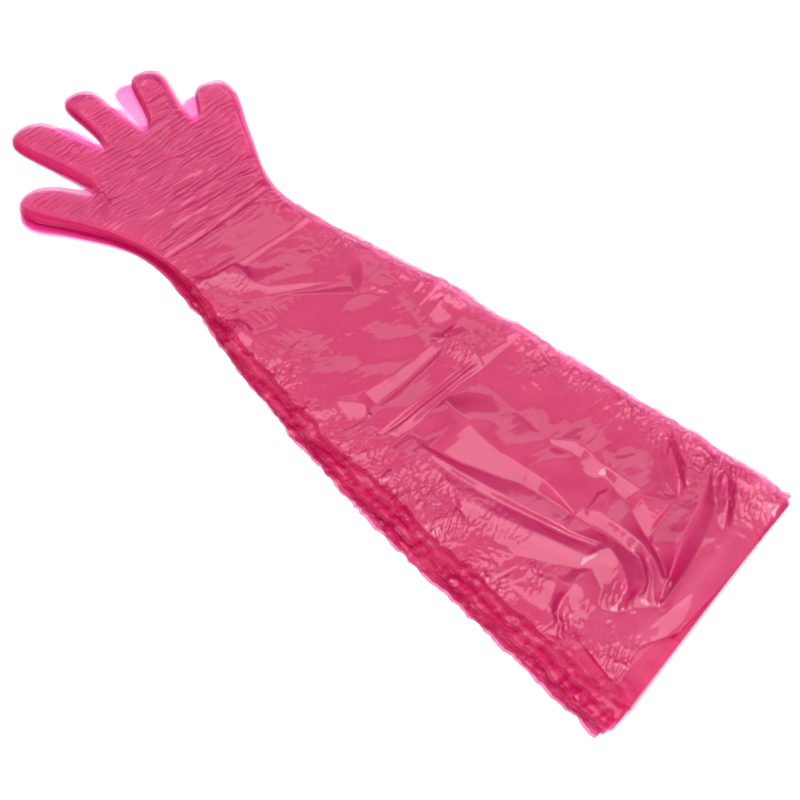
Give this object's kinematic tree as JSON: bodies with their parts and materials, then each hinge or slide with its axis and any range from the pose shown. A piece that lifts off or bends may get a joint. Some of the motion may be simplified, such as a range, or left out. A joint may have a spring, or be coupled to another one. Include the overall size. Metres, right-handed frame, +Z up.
{
  "type": "disposable shoulder-length glove stack",
  "caption": "Fanned stack of shoulder-length disposable gloves in thin translucent pink film, each two walls sealed round the edge and open at the mouth.",
  "frame": {"origin": "middle of the stack's footprint, on the surface it lies on", "axes": "+Y from the mouths to the fingertips, +X towards the little fingers, +Z up through the stack"},
  "size_m": [0.3223, 0.9271, 0.0205],
  "materials": {
    "film": "thin glossy translucent pink polyethylene film",
    "seal": "heat-sealed double film, slightly deeper pink"
  },
  "bodies": {
    "glove_1": {"glove_1_lower_wall": "film", "glove_1_upper_wall": "film", "glove_1_edge_seal": "seal"},
    "glove_2": {"glove_2_lower_wall": "film", "glove_2_upper_wall": "film", "glove_2_edge_seal": "seal"},
    "glove_3": {"glove_3_lower_wall": "film", "glove_3_upper_wall": "film", "glove_3_edge_seal": "seal"},
    "glove_4": {"glove_4_lower_wall": "film", "glove_4_upper_wall": "film", "glove_4_edge_seal": "seal"},
    "glove_5": {"glove_5_lower_wall": "film", "glove_5_upper_wall": "film", "glove_5_edge_seal": "seal"},
    "glove_6": {"glove_6_lower_wall": "film", "glove_6_upper_wall": "film", "glove_6_edge_seal": "seal"}
  },
  "joints": [
    {"name": "glove_2_lift", "type": "slide", "parent": "glove_1", "child": "glove_2", "axis": [0, 0, 1], "range_m": [0, 0.06]},
    {"name": "glove_3_lift", "type": "slide", "parent": "glove_2", "child": "glove_3", "axis": [0, 0, 1], "range_m": [0, 0.06]},
    {"name": "glove_4_lift", "type": "slide", "parent": "glove_3", "child": "glove_4", "axis": [0, 0, 1], "range_m": [0, 0.06]},
    {"name": "glove_5_lift", "type": "slide", "parent": "glove_4", "child": "glove_5", "axis": [0, 0, 1], "range_m": [0, 0.06]},
    {"name": "glove_6_lift", "type": "slide", "parent": "glove_5", "child": "glove_6", "axis": [0, 0, 1], "range_m": [0, 0.06]}
  ]
}
